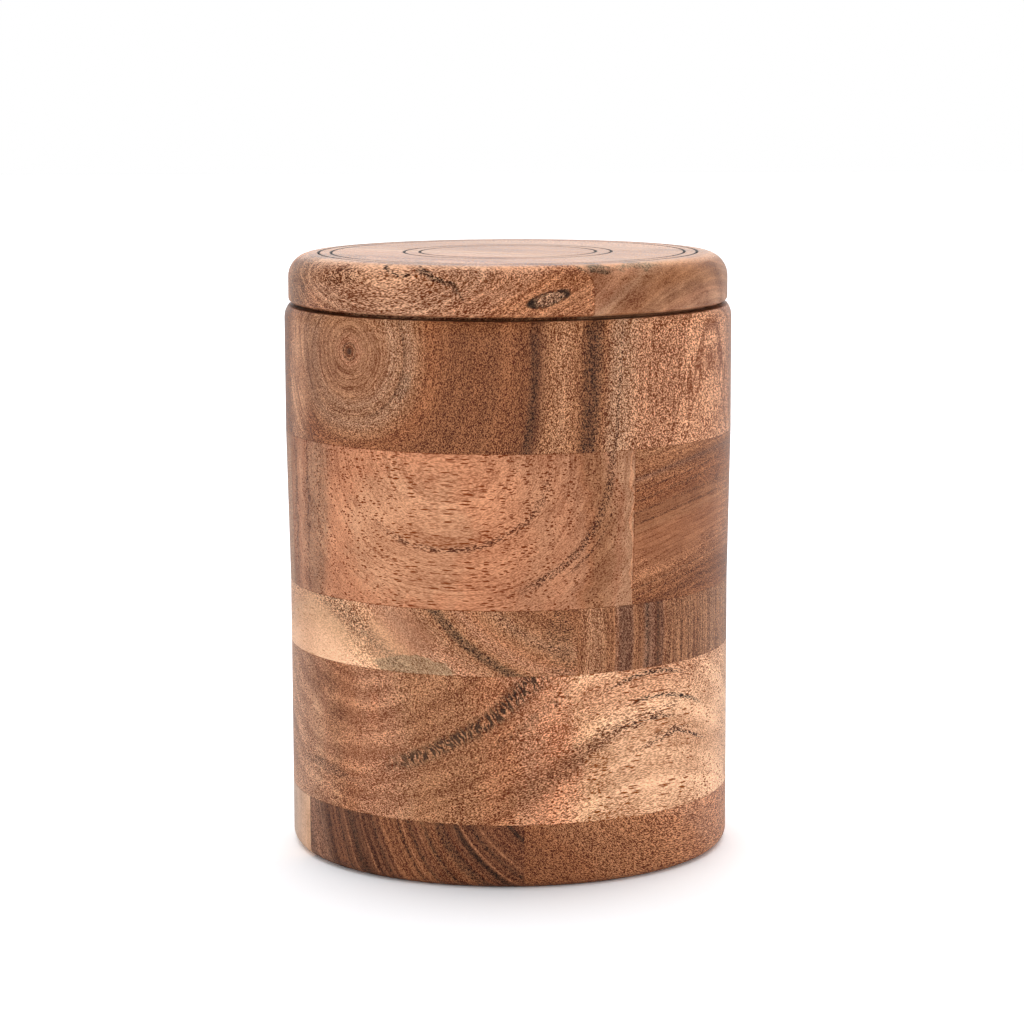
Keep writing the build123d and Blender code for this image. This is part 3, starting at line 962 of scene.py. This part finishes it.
oiled_board(
    "lid_middle_board", pith=(-10, 100), seed=15.0, joints=(-31.15, 30.75), **lid,
    rings=[
        (38, "tan", 0.9), (43, "tan", 0.88), (45, "clay", 0.97), (47, "tan brown", 1.05),
        (49, "tan brown", 1.02), (51, "walnut", 1.05), (53, "walnut", 1.08), (55, "tan brown", 1.05),
        (57, "grey tan", 1.1), (59, "clay"), (62, "clay", 0.94), (70, "tan brown"), (80, "clay"),
    ],
    patches=[
        patch((24.6, 53.4, 151.5), (2.8, 6, 1.0), "grey green", 0.35, solid=0.5),
        patch((36, 53.4, 151.5), (7, 6, 1.0), "grey green", 0.55, solid=0.25),
        patch((34, 56, 149.2), (13, 3, 0.3), "russet", 0.8, solid=0.2),
        patch((-166.7, 5.6, 152.4), (4.2, 0.9, 2), "umber", solid=0.4),
    ],
    finish={"Fibre contrast": 0.65, "Hairline contrast": 0.1, "Line contrast": 0.35, "Cloud contrast": 0.4},
)
oiled_board(
    "lid_back_board", pith=(-60, 190), seed=16.0, joints=(-31.15,), **lid,
    rings=[(35, "clay"), (50, "tan", 0.95), (65, "clay")],
)
print("boards dressed:", sum(node + "_wood" in bpy.data.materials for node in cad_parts))

# %% [markdown]
# ## The silicone seal
# A ring of soft clear silicone sits in the groove round the plug, and its three fins brush the
# wall of the jar when the lid goes on. Its outline is a wave, and a wave that is swept round a
# circle follows a rule, so it is made with Geometry Nodes: a flat grid whose columns go round
# the ring and whose rows go round its outline. Each point is moved to its place by a formula,
# and the two seams are then merged.

# %% Seal tree
seal_sizes = {
    "Back radius": 44.72 * MM, "Face radius": 45.75 * MM, "Lip radius": 46.86 * MM,
    "Bottom": 132.62 * MM, "Top": 136.98 * MM, "Fins": 3.0, "Thinness": 2.2,
}
seam_gap = 0.000002
seal_tree = bpy.data.node_groups.new("finned seal", "GeometryNodeTree")
sockets = seal_tree.interface
for label, value in {**seal_sizes, "Points round": 288, "Points along": 96}.items():
    kind = "NodeSocketInt" if isinstance(value, int) else "NodeSocketFloat"
    sockets.new_socket(label, in_out="INPUT", socket_type=kind).default_value = value
sockets.new_socket("Material", in_out="INPUT", socket_type="NodeSocketMaterial")
sockets.new_socket("Geometry", in_out="OUTPUT", socket_type="NodeSocketGeometry")
given = seal_tree.nodes.new("NodeGroupInput").outputs
tree = seal_tree

# %% The wave swept round
grid = add(tree, "GeometryNodeMeshGrid", {
    "Size X": 1.0, "Size Y": 1.0, "Vertices X": given["Points round"], "Vertices Y": given["Points along"]})
spot = split(tree, add(tree, "GeometryNodeInputPosition").outputs[0])
turn_share = calc(tree, "ADD", spot[0], 0.5)
outline_share = calc(tree, "MULTIPLY", calc(tree, "ADD", spot[1], 0.5), 2.0)
on_the_back = calc(tree, "GREATER_THAN", outline_share, 1.0)
rise_share = calc(tree, "SUBTRACT", 1.0, apart(tree, outline_share, 1.0))
rise = calc(tree, "SUBTRACT", given["Top"], given["Bottom"])
height = calc(tree, "MULTIPLY_ADD", rise_share, rise, given["Bottom"])
swing = calc(tree, "MULTIPLY", rise_share, calc(tree, "MULTIPLY", given["Fins"], pi))
wave = calc(tree, "POWER", calc(tree, "ABSOLUTE", calc(tree, "SINE", swing)), given["Thinness"])
swell = calc(tree, "SUBTRACT", given["Lip radius"], given["Face radius"])
face = calc(tree, "MULTIPLY_ADD", wave, swell, given["Face radius"])
reach = add(tree, "ShaderNodeMix", {0: on_the_back, 2: face, 3: given["Back radius"]}).outputs[0]
angle = calc(tree, "MULTIPLY", turn_share, 2 * pi)
level = [calc(tree, "MULTIPLY", reach, calc(tree, way, angle)) for way in ("COSINE", "SINE")]
moved = join(tree, *level, height)
flat = grid.outputs["Mesh"]
shaped = add(tree, "GeometryNodeSetPosition", {"Geometry": flat, "Position": moved}).outputs[0]
closed = add(tree, "GeometryNodeMergeByDistance", {"Geometry": shaped, "Distance": seam_gap}).outputs[0]
soft = add(tree, "GeometryNodeSetShadeSmooth", {"Geometry": closed}).outputs[0]
real = add(tree, "GeometryNodeRealizeInstances", {"Geometry": soft}).outputs[0]
painted = add(tree, "GeometryNodeSetMaterial", {"Geometry": real, "Material": given["Material"]}).outputs[0]
tree.links.new(painted, tree.nodes.new("NodeGroupOutput").inputs["Geometry"])
print("seal tree:", len(tree.nodes), "nodes")

# %% [markdown]
# Clear silicone isn't quite clear: it is milky white, a little warm, and where it has been
# handled and washed it goes cloudy in soft patches. A faint grain breaks up its shine.

# %% Milky silicone
silicone = bpy.data.materials.new("milky_silicone")
tree = start_tree(silicone)
place = add(tree, "ShaderNodeTexCoord").outputs["Object"]
cloudy = noise(tree, place, scale=90, detail=3)[0]
milky = blend(tree, remap(tree, cloudy, 0.35, 0.65), (0.80, 0.79, 0.75, 1), (0.66, 0.65, 0.60, 1))
grain = noise(tree, place, scale=2600, detail=1)[0]
bumps = add(tree, "ShaderNodeBump", {"Height": grain, "Strength": 0.25, "Distance": 0.05 * MM})
rubber = add(tree, "ShaderNodeBsdfPrincipled", {
    "Base Color": milky, "Roughness": remap(tree, cloudy, 0.3, 0.7, 0.38, 0.55), "Normal": bumps.outputs[0]})
add(tree, "ShaderNodeOutputMaterial", {"Surface": rubber.outputs[0]})

# %% Seal piece
maker = bpy.data.objects.new("seal_maker", bpy.data.meshes.new("seal_start"))
bpy.context.scene.collection.objects.link(maker)
nodes_modifier = maker.modifiers.new("finned seal", "NODES")
nodes_modifier.node_group = seal_tree
for socket in sockets.items_tree:
    if socket.in_out == "INPUT":
        value = silicone if socket.name == "Material" else socket.default_value
        nodes_modifier[socket.identifier] = value
view = bpy.context.evaluated_depsgraph_get()
seal_mesh = bpy.data.meshes.new_from_object(maker.evaluated_get(view), depsgraph=view)
bpy.data.objects.remove(maker)
seal = bpy.data.objects.new("finned_seal", seal_mesh)
bpy.context.scene.collection.objects.link(seal)

outward = sum(
    side.normal.dot(Vector((side.center.x, side.center.y, 0))) * side.area for side in seal_mesh.polygons)
if outward < 0:
    seal_mesh.flip_normals()
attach(seal, "seal")
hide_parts("lid_seal_ring")
print("seal:", len(seal_mesh.polygons), "faces")
